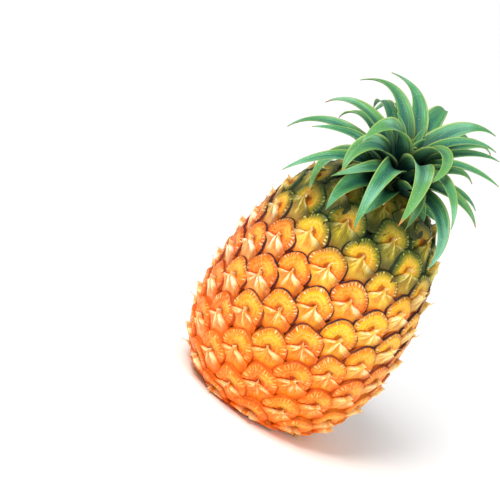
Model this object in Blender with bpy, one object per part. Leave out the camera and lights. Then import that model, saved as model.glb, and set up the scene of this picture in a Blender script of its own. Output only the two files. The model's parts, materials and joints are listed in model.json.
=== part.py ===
"""A whole pineapple standing on its base: the fruit, its cut stalk, and the crown's stem and leaves."""

import bisect
import math

import bmesh
import bpy
from mathutils import Matrix, Vector

# Lengths are in metres and angles in degrees, unless a name says otherwise.

# The fruit's body, a barrel that is a little wider below its middle and trimmed flat at both ends.
FRUIT_RADIUS = 0.058
FRUIT_HALF_HEIGHT = 0.077
SIDE_EXPONENT = 2.15
END_EXPONENT = 3.15
TAPER = 0.1
BASE_TRIM = 0.003
CROWN_TRIM = 0.003
PROFILE_STEPS = 400

# The eyes follow one spiral from the base to the crown, each with the same share of the surface.
EYE_AREA = 0.000409
EYE_TURN = 132.3
FIRST_EYE_HEADING = -42.0
FIRST_EYE_SHARE = 0.5
GROOVE_DEPTH = 0.0012
FLAT_OF_EYE = 0.72
BRACT_RISE = 0.0022
BRACT_DROP = 0.0015

# The stalk's stub, cut flush with the fruit's base.
STALK_RADIUS = 0.012
STALK_DEPTH = 0.004

# The crown's stem, a cone seated in the fruit's top that leans towards -Y.
STEM_RADIUS = 0.0125
STEM_TIP_RADIUS = 0.003
STEM_LENGTH = 0.0275
STEM_SEAT = 0.002
STEM_COLLAR = 0.006
STEM_LEAN = 22.0
ROUND_SIDES = 24

# The crown's leaves, each a gutter that curls over and narrows to a point.
UNDER_FIRST_LEAF = 0.0045
UNDER_LAST_LEAF = 0.022
LEAF_THICKNESS = 0.0015
EDGE_THICKNESS = 0.0008
CURL_GROWTH = 1.3
LEAF_STATIONS = 9
STEPS_PER_STATION = 8
BASE_WIDTH = 0.45
FOOT_SHARE = 0.25
NARROWING = 2.2
POINTEDNESS = 0.9
BASE_CHANNEL = 0.55
TIP_CHANNEL = 0.22
SECTION_CORNERS = 6

# The gap that neighbouring pieces keep.
CLEARANCE = 0.0003

# One row for each leaf, from the lowest to the innermost: heading, rise of its base above the
# stem's own level, curl and sideways sweep in degrees, then length and width in millimetres.
LEAVES = (
    (-120, 35, 65, 10, 60, 13),
    (15, 50, 95, 0, 45, 9),
    (145, 50, 130, 0, 55, 9),
    (-90, 45, 80, -5, 45, 12),
    (70, 55, 115, -5, 70, 9),
    (-160, 40, 122, 30, 55, 10),
    (-35, 45, 115, -15, 65, 13),
    (110, 40, 130, 5, 80, 9),
    (35, 55, 105, 0, 45, 10),
    (175, 30, 95, 5, 65, 10),
    (-65, 55, 80, -10, 70, 10),
    (90, 55, 100, -5, 65, 14),
    (-135, 35, 80, 0, 75, 9),
    (-5, 40, 95, 5, 50, 11),
    (135, 60, 145, -10, 60, 10),
    (-110, 50, 85, -10, 60, 10),
    (50, 60, 110, 0, 65, 11),
    (-150, 45, 65, 0, 60, 9),
    (-45, 72, 121, -5, 70, 11),
    (100, 60, 85, 25, 60, 12),
    (20, 75, 95, 5, 56, 8),
    (165, 50, 115, 0, 60, 11),
    (-101, 50, 110, 7, 82, 12),
    (66, 60, 80, -15, 60, 12),
    (-143, 58, 120, 22, 54, 14),
    (-16, 71, 87, 9, 58, 9),
    (128, 62, 118, 15, 63, 11),
    (-74, 64, 116, -6, 88, 14),
    (93, 80, 65, 0, 24, 5),
    (-134, 85, 125, 13, 67, 14),
    (22, 85, 107, 0, 55, 8),
    (155, 80, 60, 0, 26, 7),
    (-30, 95, 150, -40, 60, 11),
)

FRUIT_TOP = 2 * FRUIT_HALF_HEIGHT - BASE_TRIM - CROWN_TRIM
WIDEST_LEVEL = FRUIT_HALF_HEIGHT - BASE_TRIM


def remove_everything():
    for thing in list(bpy.data.objects):
        bpy.data.objects.remove(thing, do_unlink=True)


def material(name, colour, roughness):
    made = bpy.data.materials.new(name)
    made.use_nodes = True
    surface = made.node_tree.nodes["Principled BSDF"]
    surface.inputs["Base Color"].default_value = (*colour, 1.0)
    surface.inputs["Roughness"].default_value = roughness
    surface.inputs["Metallic"].default_value = 0.0
    return made


def object_of(shape, name, finish, smooth=True):
    """Turns a bmesh into a named object with one material."""
    bmesh.ops.recalc_face_normals(shape, faces=shape.faces)
    mesh = bpy.data.meshes.new(name)
    shape.to_mesh(mesh)
    shape.free()
    mesh.materials.append(finish)
    if smooth:
        mesh.shade_smooth()
    made = bpy.data.objects.new(name, mesh)
    bpy.context.scene.collection.objects.link(made)
    return made


def cut_cylinder(target, name, radius, bottom, top):
    """Cuts a round seat out of the target, from one height to another."""
    shape = bmesh.new()
    bmesh.ops.create_cone(
        shape,
        cap_ends=True,
        segments=ROUND_SIDES,
        radius1=radius,
        radius2=radius,
        depth=top - bottom,
        matrix=Matrix.Translation((0, 0, (top + bottom) / 2)),
    )
    cutter = object_of(shape, name, target.data.materials[0])
    cutter.hide_render = True
    cutter.display_type = "WIRE"
    cut = target.modifiers.new(name, "BOOLEAN")
    cut.operation = "DIFFERENCE"
    cut.object = cutter


# --- The fruit ---


def body_radius(level):
    """The barrel's radius at a level, measured up from its widest part."""
    share = max(-1.0, min(1.0, level / FRUIT_HALF_HEIGHT))
    roundness = (1.0 - abs(share) ** SIDE_EXPONENT) ** (1.0 / END_EXPONENT)
    return FRUIT_RADIUS * roundness * (1.0 - TAPER * share)


def body_bands():
    """The barrel's levels, close together at its ends, and the area below each of them."""
    levels = [-FRUIT_HALF_HEIGHT * math.cos(math.pi * i / PROFILE_STEPS) for i in range(PROFILE_STEPS + 1)]
    radii = [body_radius(level) for level in levels]
    areas = [0.0]
    for i in range(PROFILE_STEPS):
        slant = math.hypot(levels[i + 1] - levels[i], radii[i + 1] - radii[i])
        areas.append(areas[-1] + math.pi * (radii[i] + radii[i + 1]) * slant)
    return levels, radii, areas


def eyes():
    """The centre of each eye and the direction it faces, from the base up."""
    levels, radii, areas = body_bands()
    found = []
    for number in range(int(areas[-1] / EYE_AREA)):
        area = (number + FIRST_EYE_SHARE) * EYE_AREA
        i = bisect.bisect(areas, area)
        share = (area - areas[i - 1]) / (areas[i] - areas[i - 1])
        level = levels[i - 1] + share * (levels[i] - levels[i - 1])
        heading = math.radians(FIRST_EYE_HEADING + number * EYE_TURN)
        outward = Vector((math.cos(heading), math.sin(heading), 0))
        centre = outward * body_radius(level) + Vector((0, 0, WIDEST_LEVEL + level))
        rise, run = radii[i] - radii[i - 1], levels[i] - levels[i - 1]
        found.append((centre, (outward * run - Vector((0, 0, rise))).normalized()))
    return found


def neighbours(places):
    """A net that joins each eye to those around it.

    It is the hull of the same eyes laid out on a ball, which is closer to round than the barrel is.
    """
    net = bmesh.new()
    for number in range(len(places)):
        height = 2 * (number + FIRST_EYE_SHARE) / len(places) - 1
        heading = math.radians(FIRST_EYE_HEADING + number * EYE_TURN)
        girth = math.sqrt(1 - height**2)
        net.verts.new((girth * math.cos(heading), girth * math.sin(heading), height))
    bmesh.ops.convex_hull(net, input=net.verts)
    bmesh.ops.triangulate(net, faces=net.faces)
    net.verts.index_update()
    net.edges.index_update()
    net.faces.index_update()
    return net


def groove_points(shape, net, places):
    """Vertices in the grooves: one where three eyes meet, and one between each two."""

    def sunk(verts):
        middle = sum((places[v.index][0] for v in verts), Vector()) / len(verts)
        outward = sum((places[v.index][1] for v in verts), Vector()).normalized()
        return shape.verts.new(middle - outward * GROOVE_DEPTH)

    corners = {face.index: sunk(face.verts) for face in net.faces}
    middles = {edge.index: sunk(edge.verts) for edge in net.edges}
    return corners, middles


def groove_loop(vert, centre, normal, corners, middles):
    """The groove's vertices all round one eye, in order."""
    across = normal.orthogonal().normalized()
    along = normal.cross(across)
    loop = [corners[face.index] for face in vert.link_faces]
    loop += [middles[edge.index] for edge in vert.link_edges]

    def bearing(point):
        away = point.co - centre
        return math.atan2(away.dot(along), away.dot(across))

    return sorted(loop, key=bearing)


def flat_point(shape, centre, normal, groove):
    """A vertex at the edge of an eye's flat, on the way from its centre to its groove."""
    away = groove.co - centre
    drop = away.dot(normal)
    return shape.verts.new(centre + (away - normal * drop) * FLAT_OF_EYE + normal * drop * (1 - FLAT_OF_EYE))


def make_fruit(finish):
    places = eyes()
    net = neighbours(places)
    shape = bmesh.new()
    corners, middles = groove_points(shape, net, places)
    for vert in net.verts:
        centre, normal = places[vert.index]
        loop = groove_loop(vert, centre, normal, corners, middles)
        flat = [flat_point(shape, centre, normal, groove) for groove in loop]
        up = (Vector((0, 0, 1)) - normal * normal.z).normalized()
        bract = shape.verts.new(centre + normal * BRACT_RISE - up * BRACT_DROP)
        for i in range(len(loop)):
            following = (i + 1) % len(loop)
            shape.faces.new((loop[i], loop[following], flat[following], flat[i]))
            shape.faces.new((flat[i], flat[following], bract))
    net.free()
    for vert in shape.verts:
        vert.co.z = max(0.0, min(FRUIT_TOP, vert.co.z))
    fruit = object_of(shape, "fruit", finish, smooth=False)
    seat_radius = STALK_RADIUS + CLEARANCE
    cut_cylinder(fruit, "stalk_seat", seat_radius, -STALK_DEPTH, STALK_DEPTH + CLEARANCE)
    cut_cylinder(fruit, "stem_seat", STEM_RADIUS + CLEARANCE, FRUIT_TOP - STEM_SEAT, FRUIT_TOP + STEM_SEAT)
    return fruit


# --- The stalk and the crown's stem ---


def make_stalk(finish):
    shape = bmesh.new()
    bmesh.ops.create_cone(
        shape,
        cap_ends=True,
        segments=ROUND_SIDES,
        radius1=STALK_RADIUS,
        radius2=STALK_RADIUS,
        depth=STALK_DEPTH,
        matrix=Matrix.Translation((0, 0, STALK_DEPTH / 2)),
    )
    return object_of(shape, "stalk_stub", finish, smooth=False)


def stem_frame():
    """The crown's own frame: its origin on the fruit's top, and Z along the leaning stem."""
    return Matrix.Translation((0, 0, FRUIT_TOP)) @ Matrix.Rotation(math.radians(STEM_LEAN), 4, "X")


def stem_radius(height):
    """The cone's radius at a height along the stem."""
    return STEM_RADIUS + (STEM_TIP_RADIUS - STEM_RADIUS) * height / STEM_LENGTH


def make_stem(finish):
    shape = bmesh.new()
    frame = stem_frame()
    foot = Matrix.Translation((0, 0, FRUIT_TOP - STEM_SEAT + CLEARANCE))
    top_of_seat = Matrix.Translation((0, 0, FRUIT_TOP))
    rings = [(foot, 0, STEM_RADIUS), (top_of_seat, 0, STEM_RADIUS)]
    rings.append((frame, STEM_COLLAR, stem_radius(STEM_COLLAR)))
    rings.append((frame, STEM_LENGTH, STEM_TIP_RADIUS))
    last = None
    for place, height, radius in rings:
        ring = []
        for side in range(ROUND_SIDES):
            angle = 2 * math.pi * side / ROUND_SIDES
            corner = Vector((radius * math.cos(angle), radius * math.sin(angle), height))
            ring.append(shape.verts.new(place @ corner))
        if last is None:
            shape.faces.new(ring)
        else:
            for side in range(ROUND_SIDES):
                following = (side + 1) % ROUND_SIDES
                shape.faces.new((last[side], last[following], ring[following], ring[side]))
        last = ring
    shape.faces.new(last)
    return object_of(shape, "crown_stem", finish, smooth=False)


# --- The leaves ---


def leaf_line(heading, rise, curl, sweep, length, start, height):
    """Points down the middle of a leaf in the stem's frame, each with its direction and side."""
    points = []
    out, up = start, height
    steps = LEAF_STATIONS * STEPS_PER_STATION
    for i in range(steps + 1):
        share = i / steps
        slope = math.radians(rise - curl * share**CURL_GROWTH)
        angle = math.radians(heading + sweep * share**2)
        points.append(Vector((out * math.cos(angle), out * math.sin(angle), up)))
        out += math.cos(slope) * length / steps
        up += math.sin(slope) * length / steps
    stations = []
    for k in range(LEAF_STATIONS + 1):
        i = k * STEPS_PER_STATION
        before, after = points[max(i - 1, 0)], points[min(i + 1, steps)]
        along = (after - before).normalized()
        angle = math.radians(heading + sweep * (i / steps) ** 2)
        round_stem = Vector((-math.sin(angle), math.cos(angle), 0))
        side = (round_stem - along * round_stem.dot(along)).normalized()
        stations.append((points[i], along, side))
    return stations


def half_width(share, width):
    """Half of a leaf's width at a share of its length: a narrower foot, then a long taper."""
    foot = BASE_WIDTH + (1 - BASE_WIDTH) * min(1.0, share / FOOT_SHARE)
    return width / 2 * foot * (1 - share**NARROWING) ** POINTEDNESS


def make_leaf(number, row, finish):
    heading, rise, curl, sweep, length, width = row
    share_up = number / max(1, len(LEAVES) - 1)
    height = UNDER_FIRST_LEAF + (UNDER_LAST_LEAF - UNDER_FIRST_LEAF) * share_up + LEAF_THICKNESS
    start = stem_radius(height) + CLEARANCE + LEAF_THICKNESS
    line = leaf_line(heading, rise, curl, sweep, length / 1000, start, height)
    shape = bmesh.new()
    last = None
    for k, (point, along, side) in enumerate(line):
        upper = along.cross(side)
        share = k / LEAF_STATIONS
        if k == LEAF_STATIONS:
            tip = shape.verts.new(point)
            for i in range(SECTION_CORNERS):
                shape.faces.new((last[i], last[(i + 1) % SECTION_CORNERS], tip))
            break
        half = half_width(share, width / 1000)
        lift = half * (BASE_CHANNEL + (TIP_CHANNEL - BASE_CHANNEL) * share)
        outline = (
            point - side * half + upper * lift,
            point,
            point + side * half + upper * lift,
            point + side * half + upper * (lift - EDGE_THICKNESS),
            point - upper * LEAF_THICKNESS,
            point - side * half + upper * (lift - EDGE_THICKNESS),
        )
        ring = [shape.verts.new(corner) for corner in outline]
        if last is None:
            shape.faces.new(ring)
        else:
            for i in range(SECTION_CORNERS):
                following = (i + 1) % SECTION_CORNERS
                shape.faces.new((last[i], last[following], ring[following], ring[i]))
        last = ring
    shape.transform(stem_frame())
    return object_of(shape, f"leaf_{number + 1:02d}", finish)


def main():
    remove_everything()
    make_fruit(material("pineapple_rind", (0.78, 0.36, 0.06), 0.5))
    make_stalk(material("cut_stalk", (0.55, 0.45, 0.25), 0.8))
    stem_finish = material("crown_stem", (0.55, 0.62, 0.35), 0.6)
    leaf_finish = material("crown_leaf", (0.08, 0.25, 0.12), 0.45)
    make_stem(stem_finish)
    for number, row in enumerate(LEAVES):
        make_leaf(number, row, leaf_finish)


main()
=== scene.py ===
"""A whole pineapple: a fruit of overlapping eyes and bracts, and a leaning crown of curled leaves."""

import bisect
import json
import math
import random

import bmesh
import bpy
from bpy.props import FloatProperty, FloatVectorProperty, IntProperty, PointerProperty
from mathutils import Matrix, Vector

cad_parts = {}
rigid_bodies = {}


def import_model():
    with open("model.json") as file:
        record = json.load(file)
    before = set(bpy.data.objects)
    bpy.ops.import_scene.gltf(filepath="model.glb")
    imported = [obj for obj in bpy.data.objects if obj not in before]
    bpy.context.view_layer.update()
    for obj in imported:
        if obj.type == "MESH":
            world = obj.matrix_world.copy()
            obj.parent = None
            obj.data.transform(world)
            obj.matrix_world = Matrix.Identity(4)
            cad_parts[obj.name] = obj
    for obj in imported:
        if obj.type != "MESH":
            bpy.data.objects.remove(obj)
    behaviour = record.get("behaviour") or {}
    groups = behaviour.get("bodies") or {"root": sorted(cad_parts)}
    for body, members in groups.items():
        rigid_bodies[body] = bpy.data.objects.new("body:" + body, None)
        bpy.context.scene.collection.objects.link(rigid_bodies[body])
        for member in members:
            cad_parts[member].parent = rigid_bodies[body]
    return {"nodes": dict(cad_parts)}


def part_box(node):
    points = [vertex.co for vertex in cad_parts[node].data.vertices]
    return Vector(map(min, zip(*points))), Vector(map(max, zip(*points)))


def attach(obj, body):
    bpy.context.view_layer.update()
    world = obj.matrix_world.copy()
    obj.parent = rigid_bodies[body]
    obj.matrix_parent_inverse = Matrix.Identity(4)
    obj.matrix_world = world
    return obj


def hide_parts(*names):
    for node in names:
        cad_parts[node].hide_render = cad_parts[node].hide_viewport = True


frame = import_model()

bl_info = {
    "name": "Pineapple",
    "version": (1, 0, 0),
    "blender": (4, 5, 0),
    "location": "View3D > Sidebar > Pineapple",
    "description": "Builds a whole pineapple with its crown, and a pale stage for it",
    "category": "Object",
}

MM = 0.001
FRUIT_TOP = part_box("fruit")[1][2]


# --- Settings ---


def colour(name, description, default):
    return FloatVectorProperty(
        name=name, description=description, default=default, subtype="COLOR", min=0, max=1
    )


def length(name, description, default):
    return FloatProperty(
        name=name, description=description, default=default, unit="LENGTH", precision=4
    )


def plain(name, description, default):
    return FloatProperty(name=name, description=description, default=default)


def whole(name, description, default):
    return IntProperty(name=name, description=description, default=default, min=1)


def degrees(name, description, default):
    return FloatProperty(
        name=name, description=description, default=math.radians(default), subtype="ANGLE"
    )


class PineappleFruit(bpy.types.PropertyGroup):
    """The barrel of the fruit and the eyes that cover it."""

    radius: length("Radius", "Radius of the barrel at its widest", 0.058)
    half_height: length("Half height", "From the widest part to either end", 0.077)
    side_exponent: plain("Side exponent", "How straight the sides are", 2.15)
    end_exponent: plain("End exponent", "How blunt the ends are", 3.15)
    taper: plain("Taper", "How much narrower the crown end is", 0.1)
    base_trim: length("Base trim", "How much of the base end is cut flat", 0.003)
    eye_area: plain("Eye area", "Share of the surface that each eye has, in square metres", 0.000409)
    eye_turn: plain("Eye turn", "Degrees round the axis from one eye to the next", 132.3)
    first_heading: plain("First heading", "Heading of the lowest eye in degrees", -42.0)
    sink: length("Sink", "How far the eyes' own level lies under the barrel", 0.0012)
    seed: whole("Seed", "Varies the eyes", 7)
    ripe: colour("Ripe", "Skin of the ripest eyes", (0.84, 0.12, 0.004))
    orange: colour("Orange", "Skin of the orange eyes", (0.90, 0.26, 0.004))
    golden: colour("Golden", "Skin of the golden eyes", (0.93, 0.50, 0.012))
    young: colour("Young", "Skin of the eyes under the crown", (0.13, 0.15, 0.008))
    pale: colour("Pale", "Creases and ticks", (1.0, 0.80, 0.45))
    outline: colour("Outline", "Dark rim of each dome", (0.035, 0.012, 0.018))


class PineappleCrown(bpy.types.PropertyGroup):
    """The crown's stem and leaves."""

    stem_radius: length("Stem radius", "Radius of the stem at its foot", 0.0125)
    stem_tip_radius: length("Stem tip radius", "Radius of the stem at its tip", 0.003)
    stem_length: length("Stem length", "Length of the stem above the fruit", 0.0275)
    lean: degrees("Lean", "How far the crown leans towards -Y", 22.0)
    first_leaf: length("First leaf", "Height along the stem just under the lowest leaf", 0.0045)
    last_leaf: length("Last leaf", "Height along the stem just under the innermost leaf", 0.022)
    collar_leaves: whole("Collar leaves", "Short leaves round the crown's foot", 15)
    heart_leaves: whole("Heart leaves", "Small leaves that close over the stem's tip", 6)
    thickness: length("Thickness", "Thickness of a leaf along its middle", 0.0015)
    green: colour("Green", "Upper face of a leaf", (0.040, 0.20, 0.085))
    teal: colour("Teal", "Channel and inner faces of a leaf", (0.008, 0.10, 0.085))
    margin: colour("Margin", "Thin edge of a leaf", (0.42, 0.56, 0.14))
    dry: colour("Dry", "Dried tip of a leaf", (0.50, 0.22, 0.05))


class PineappleStage(bpy.types.PropertyGroup):
    """The floor, the lamps and the camera."""

    elevation: degrees("Elevation", "Height of the camera above the horizon", 16.0)
    roll: degrees("Roll", "How far the camera is turned about its line of sight", 33.0)
    lens: plain("Lens", "Focal length in millimetres", 200.0)
    scale: plain("Scale", "Image widths that one metre across the fruit fills", 3.476)
    beside: length("Beside", "How far the fruit stands to the right of the picture's middle", 0.0383)
    above: length("Above", "How far the fruit stands below the picture's middle", 0.0259)
    floor: colour("Floor", "The floor's colour", (0.93, 0.93, 0.93))


# --- Shader maths ---


class Value:
    """A number in a material, with arithmetic that adds Math nodes."""

    def __init__(self, skin, socket):
        self.skin, self.socket = skin, socket

    def __add__(self, other):
        return self.skin.math("ADD", self, other)

    def __sub__(self, other):
        return self.skin.math("SUBTRACT", self, other)

    def __rsub__(self, other):
        return self.skin.math("SUBTRACT", other, self)

    def __mul__(self, other):
        return self.skin.math("MULTIPLY", self, other)

    def __truediv__(self, other):
        return self.skin.math("DIVIDE", self, other)

    def __rtruediv__(self, other):
        return self.skin.math("DIVIDE", other, self)

    __radd__ = __add__
    __rmul__ = __mul__


class NodeMaker:
    """Adds nodes to a tree, and sets or links their sockets."""

    def feed(self, socket, value):
        if isinstance(value, Value):
            value = value.socket
        if isinstance(value, bpy.types.NodeSocket):
            self.tree.links.new(value, socket)
        else:
            socket.default_value = value

    def node(self, kind, settings=None, **inputs):
        """A node of that type. _0 is its first socket, and Detail the one that is called so."""
        made = self.tree.nodes.new(kind)
        for key, value in (settings or {}).items():
            setattr(made, key, value)
        for key, value in inputs.items():
            known = int(key[1:]) if key[1:].isdigit() else key.replace("_", " ")
            self.feed(made.inputs[known], value)
        return made


class Skin(NodeMaker):
    """A material and the nodes that it is made of."""

    def __init__(self, name):
        self.material = bpy.data.materials.new(name)
        self.material.use_nodes = True
        self.tree = self.material.node_tree
        self.tree.nodes.clear()
        self.surface = self.node("ShaderNodeBsdfPrincipled")
        self.node("ShaderNodeOutputMaterial", _0=self.surface.outputs[0])

    def math(self, operation, *terms):
        made = self.node("ShaderNodeMath", {"operation": operation})
        for socket, term in zip(made.inputs, terms):
            self.feed(socket, term)
        return Value(self, made.outputs[0])

    def step(self, value, low, high):
        """0 where the value is under low, 1 where it is over high, and a smooth way between."""
        smooth = {"interpolation_type": "SMOOTHSTEP"}
        ends = {"_1": min(low, high), "_2": max(low, high)}
        found = Value(self, self.node("ShaderNodeMapRange", smooth, _0=value, **ends).outputs[0])
        return 1 - found if low > high else found

    def band(self, value, low, high, soft):
        """1 from low to high and 0 outside them."""
        return self.step(value, low - soft, low + soft) * self.step(value, high + soft, high - soft)

    def attribute(self, name):
        return self.node("ShaderNodeAttribute", {"attribute_name": name})

    def number(self, name):
        return Value(self, self.attribute(name).outputs["Fac"])

    def place(self):
        return self.node("ShaderNodeTexCoord").outputs["Object"]

    def split(self, vector):
        return [Value(self, part) for part in self.node("ShaderNodeSeparateXYZ", _0=vector).outputs]

    def join(self, x, y, z):
        return self.node("ShaderNodeCombineXYZ", _0=x, _1=y, _2=z).outputs[0]

    def mottle(self, vector, scale, detail=2.0):
        made = self.node("ShaderNodeTexNoise", Vector=vector, Scale=scale, Detail=detail)
        return Value(self, made.outputs["Fac"])

    def mix(self, share, first, second):
        """The first colour, or the second where the share is 1."""
        made = self.node("ShaderNodeMix", {"data_type": "RGBA"}, _0=share)
        for socket, value in ((made.inputs[6], first), (made.inputs[7], second)):
            if not isinstance(value, bpy.types.NodeSocket):
                value = (*value, 1.0)
            self.feed(socket, value)
        return made.outputs[2]

    def finish(self, base, roughness, height=None, depth=0.0, shine=0.5):
        """Joins the colour, the roughness and a bump to the surface, and sets how much it shines."""
        self.feed(self.surface.inputs["Base Color"], base)
        self.feed(self.surface.inputs["Roughness"], roughness)
        self.surface.inputs["Specular IOR Level"].default_value = shine
        if height is not None:
            bump = self.node("ShaderNodeBump", Strength=1.0, Distance=depth, Height=height)
            self.feed(self.surface.inputs["Normal"], bump.outputs[0])
        return self.material


# --- Shared shapes ---


def add_object(name, mesh, material):
    """An object at the origin with one material and smooth faces."""
    mesh.name = name
    mesh.materials.clear()
    mesh.materials.append(material)
    mesh.shade_smooth()
    made = bpy.data.objects.new(name, mesh)
    bpy.context.scene.collection.objects.link(made)
    return made


def plain_mesh(name, points, faces, **values):
    """A mesh from points and faces, with one number or vector for each point under each name."""
    mesh = bpy.data.meshes.new(name)
    mesh.from_pydata(points, [], faces)
    for key, numbers in values.items():
        vectors = isinstance(numbers[0], Vector)
        layer = mesh.attributes.new(key, "FLOAT_VECTOR" if vectors else "FLOAT", "POINT")
        flat = [part for vector in numbers for part in vector] if vectors else numbers
        layer.data.foreach_set("vector" if vectors else "value", flat)
    mesh.update()
    return mesh


def join_loops(faces, first, second):
    """Faces between two closed loops of points, either of which may be a single point."""
    count = max(len(first), len(second))
    for i in range(count):
        j = (i + 1) % count
        ring = [first[i % len(first)], second[i % len(second)]]
        ring += [second[j % len(second)], first[j % len(first)]]
        faces.append(tuple(dict.fromkeys(ring)))


def smooth_step(value, low, high):
    """0 before low, 1 past high, and a smooth way between. Low may be the larger."""
    share = max(0.0, min(1.0, (value - low) / (high - low)))
    return share * share * (3 - 2 * share)


def between(table, where):
    """A smooth reading between the entries of a table of (place, value)."""
    for (x0, y0), (x1, y1) in zip(table, table[1:]):
        if where <= x1:
            return y0 + (y1 - y0) * smooth_step(where, x0, x1)
    return table[-1][1]


# --- The barrel and its eyes ---


def body_radius(fruit, level):
    """The barrel's radius at a level, measured up from its widest part."""
    share = max(-1.0, min(1.0, level / fruit.half_height))
    roundness = (1.0 - abs(share) ** fruit.side_exponent) ** (1.0 / fruit.end_exponent)
    return fruit.radius * roundness * (1.0 - fruit.taper * share)


PROFILE_STEPS = 400


def body_bands(fruit):
    """The barrel's levels, close together at its ends, and the area below each of them."""
    levels = [
        -fruit.half_height * math.cos(math.pi * i / PROFILE_STEPS) for i in range(PROFILE_STEPS + 1)
    ]
    radii = [body_radius(fruit, level) for level in levels]
    areas = [0.0]
    for i in range(PROFILE_STEPS):
        slant = math.hypot(levels[i + 1] - levels[i], radii[i + 1] - radii[i])
        areas.append(areas[-1] + math.pi * (radii[i] + radii[i + 1]) * slant)
    return levels, radii, areas


def eye_places(fruit):
    """The centre of each eye and the direction it faces, from the base up."""
    levels, radii, areas = body_bands(fruit)
    widest = fruit.half_height - fruit.base_trim
    found = []
    for number in range(int(areas[-1] / fruit.eye_area)):
        area = (number + 0.5) * fruit.eye_area
        i = bisect.bisect(areas, area)
        share = (area - areas[i - 1]) / (areas[i] - areas[i - 1])
        level = levels[i - 1] + share * (levels[i] - levels[i - 1])
        heading = math.radians(fruit.first_heading + number * fruit.eye_turn)
        outward = Vector((math.cos(heading), math.sin(heading), 0))
        rise, run = radii[i] - radii[i - 1], levels[i] - levels[i - 1]
        normal = (outward * run - Vector((0, 0, rise))).normalized()
        centre = outward * body_radius(fruit, level) + Vector((0, 0, widest + level))
        found.append((centre - normal * fruit.sink, normal))
    return found


EYE_SIZES = (0.97, 1.04)
EYE_TILT = 5.0
# Eyes grow by this share between these two heights.
EYE_GROWTH = 0.12
GROWTH_HEIGHTS = (0.105, 0.135)
# The height that bounds each place without eyes, and its radius round the axis.
BASE_GAP = (0.02, 0.017)
CROWN_GAP = (0.12, 0.013)


def is_bare(place):
    """Whether an eye would fall on the cut stalk or under the crown's stem."""
    away = math.hypot(place.x, place.y)
    on_stalk = place.z < BASE_GAP[0] and away < BASE_GAP[1]
    return on_stalk or (place.z > CROWN_GAP[0] and away < CROWN_GAP[1])


def eye_points(fruit):
    """A mesh with one vertex for each eye, and each eye's facing, way up, size, tone and kind."""
    rng = random.Random(fruit.seed)
    eyes = []
    for centre, normal in eye_places(fruit):
        size = rng.uniform(*EYE_SIZES) * (1 + EYE_GROWTH * smooth_step(centre.z, *GROWTH_HEIGHTS))
        tone = rng.uniform(-1, 1)
        kind = rng.randrange(VARIANTS)
        turn = rng.gauss(0, EYE_TILT)
        if is_bare(centre):
            continue
        up = (Vector((0, 0, 1)) - normal * normal.z).normalized()
        up.rotate(Matrix.Rotation(math.radians(turn), 3, normal))
        eyes.append((centre, normal, up, size, tone, float(kind)))
    places, facing, upward, sizes, tones, kinds = zip(*eyes)
    values = {"facing": facing, "upward": upward, "size": sizes, "tone": tones, "kind": kinds}
    return plain_mesh("eye_points", places, [], **values)


GROOVE_DEPTH = 0.0028
GROOVE_LEVELS = 40
GROOVE_SIDES = 96
END_INSET = 0.0006


def groove_mesh(fruit):
    """A closed barrel that lies a little under the eyes."""
    points, faces, rings = [], [], []
    for i in range(GROOVE_LEVELS + 1):
        height = (FRUIT_TOP - 0.0002) * i / GROOVE_LEVELS
        radius = body_radius(fruit, fruit.base_trim - fruit.half_height + height) - GROOVE_DEPTH
        height = max(END_INSET, min(FRUIT_TOP - END_INSET, height))
        for side in range(GROOVE_SIDES):
            angle = 2 * math.pi * side / GROOVE_SIDES
            points.append((radius * math.cos(angle), radius * math.sin(angle), height))
        rings.append(range(len(points) - GROOVE_SIDES, len(points)))
    for low, high in zip(rings, rings[1:]):
        join_loops(faces, high, low)
    faces += [tuple(reversed(rings[0])), tuple(rings[-1])]
    return plain_mesh("groove_skin", points, faces)


VARIANTS = 5
# From here to the next heading, sizes are in millimetres and in an eye's own frame: x round the
# fruit, y towards the crown and z outwards.
DOME_CENTRE = (-0.6, -1.9)
DOME_REACH = 11.3
DOME_HEIGHT = 1.7
DOME_SIDES = 44
DOME_RINGS = (0.0, 0.14, 0.26, 0.36, 0.45, 0.53, 0.61, 0.69, 0.77, 0.84, 0.90, 0.945, 0.98, 1.0)
DOME_PROFILE = ((0.0, 0.35), (0.3, 0.42), (0.55, 0.8), (0.76, 1.0), (0.88, 0.9), (0.95, 0.62), (1.0, 0.1))
# The rings that close a dome underneath: share of its reach, depth, and the edge value they paint.
DOME_UNDERSIDE = ((1.0, -1.2, 1.15), (0.9, -3.2, 1.3))


def level_under(x, y):
    """The height that an eye's own plane has over the barrel: proud towards the crown, sunk below."""
    drop = x * x / 120.0 + y * y / 200.0
    return 0.9 + 0.075 * (y + 3.0) - drop


def eye_shape(name, points, faces, **values):
    """A mesh of one eye's piece in metres, which keeps each point's own millimetres as local."""
    local = [Vector(point) for point in points]
    return plain_mesh(name, [point * MM for point in local], faces, local=local, **values)


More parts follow.
